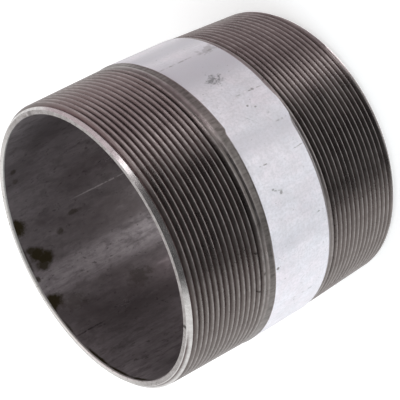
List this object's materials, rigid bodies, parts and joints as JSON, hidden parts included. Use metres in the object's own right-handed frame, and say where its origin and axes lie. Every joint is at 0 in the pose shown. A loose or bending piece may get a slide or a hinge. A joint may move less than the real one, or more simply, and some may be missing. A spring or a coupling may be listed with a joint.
{
  "type": "pipe nipple",
  "caption": "Short zinc-coated steel tube with a taper pipe thread cut on both ends and a plain band between them.",
  "frame": {"origin": "centre of the lower end face, on the nipple's axis", "axes": "+Z along the nipple's axis, from the lower end up to the end whose mouth the picture shows; the nipple is round about it"},
  "size_m": [0.1142, 0.1142, 0.1016],
  "materials": {
    "steel": "zinc coated in a band round the middle, bare die-cut thread on both ends, dull scaled bore"
  },
  "bodies": {
    "root": {"pipe_nipple": "steel"}
  },
  "joints": []
}
